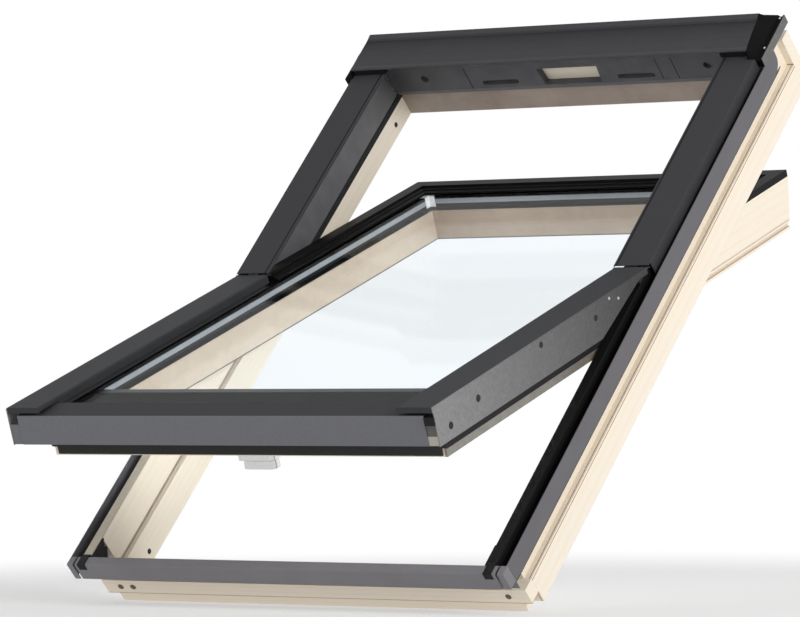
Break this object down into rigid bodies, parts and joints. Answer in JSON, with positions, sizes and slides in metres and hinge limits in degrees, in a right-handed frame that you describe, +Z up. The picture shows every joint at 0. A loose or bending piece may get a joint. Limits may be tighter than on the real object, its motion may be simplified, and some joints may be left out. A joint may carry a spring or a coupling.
{
  "type": "centre-pivot roof window",
  "caption": "Centre-pivot roof window with pine frame and sash, grey metal covers and a chrome handle, shown half open.",
  "frame": {"origin": "middle of the sash's pivot axis, at the centre of the window", "axes": "+X across the window to the right seen from outside, +Z up, with the window pitched at 45 degrees as in a roof; up the slope is +Y and +Z, and the glass faces -Y and +Z"},
  "size_m": [0.6772, 0.9177, 0.7737],
  "materials": {
    "pine": "clear-lacquered pine, satin",
    "gutter_metal": "satin mid grey paint on sheet aluminium",
    "black_plastic": "matt black moulding",
    "grey_plastic": "fine-grained grey moulding",
    "cover_metal": "satin dark grey paint on sheet aluminium",
    "rubber": "matt black rubber",
    "steel": "zinc-plated steel",
    "dark_screw": "blackened screw heads",
    "glass": "clear float glass",
    "spacer_metal": "bright spacer strip",
    "sealant": "black edge sealant",
    "black_profile": "semi-gloss black extrusion",
    "beige_plastic": "matt beige moulding",
    "chrome": "polished chrome"
  },
  "bodies": {
    "frame": {"frame_jamb_right": "pine", "frame_jamb_left": "pine", "frame_head": "pine", "frame_sill": "pine", "gutter_right": "gutter_metal", "gutter_left": "gutter_metal", "sill_cladding": "gutter_metal", "corner_piece_right": "black_plastic", "corner_piece_left": "black_plastic", "head_vent_bar": "grey_plastic", "upper_cover_right": "cover_metal", "upper_cover_left": "cover_metal", "frame_clips_right": "black_plastic", "frame_clips_left": "black_plastic", "hood": "cover_metal", "hood_strip": "rubber", "hood_brackets": "steel", "hood_end_right": "black_plastic", "hood_end_left": "black_plastic", "inner_profile_right": "grey_plastic", "inner_profile_left": "grey_plastic", "frame_gasket_right": "rubber", "frame_gasket_left": "rubber", "pivot_housing_right": "steel", "pivot_housing_left": "steel", "lock_keep": "steel", "sill_screws": "dark_screw"},
    "sash": {"sash_stile_right": "pine", "sash_stile_left": "pine", "sash_top_rail": "pine", "sash_bottom_rail": "pine", "outer_pane": "glass", "inner_pane": "glass", "spacer": "spacer_metal", "edge_seal": "sealant", "glazing_bed": "rubber", "side_profile_right": "black_profile", "side_profile_left": "black_profile", "top_profile": "black_profile", "lower_cover_right": "cover_metal", "lower_cover_left": "cover_metal", "glazing_seal_right": "rubber", "glazing_seal_left": "rubber", "sash_clips_right": "black_plastic", "sash_clips_left": "black_plastic", "bottom_cover": "cover_metal", "drip_rail": "black_profile", "end_block_right": "beige_plastic", "end_block_left": "beige_plastic", "sash_gasket": "rubber", "pivot_arm_right": "steel", "pivot_arm_left": "steel", "cover_screws": "dark_screw", "lock_case": "chrome"},
    "handle": {"handle": "chrome"},
    "lock_bolt": {"lock_bolt": "steel"}
  },
  "joints": [
    {"name": "sash_pivot", "type": "hinge", "parent": "frame", "child": "sash", "pos_m": [0, 0, 0], "axis": [-1, 0, 0], "range_deg": [-25.8, 34]},
    {"name": "handle_turn", "type": "hinge", "parent": "sash", "child": "handle", "pos_m": [-0.01, -0.36733, -0.22534], "axis": [0, 0.3289, -0.9444], "range_deg": [0, 90]},
    {"name": "bolt_slide", "type": "slide", "parent": "sash", "child": "lock_bolt", "axis": [0, -0.9444, -0.3289], "range_m": [0, 0.012]}
  ],
  "couplings": [
    {"joint": "bolt_slide", "follows": "handle_turn", "m_per_rad": 0.00763}
  ]
}
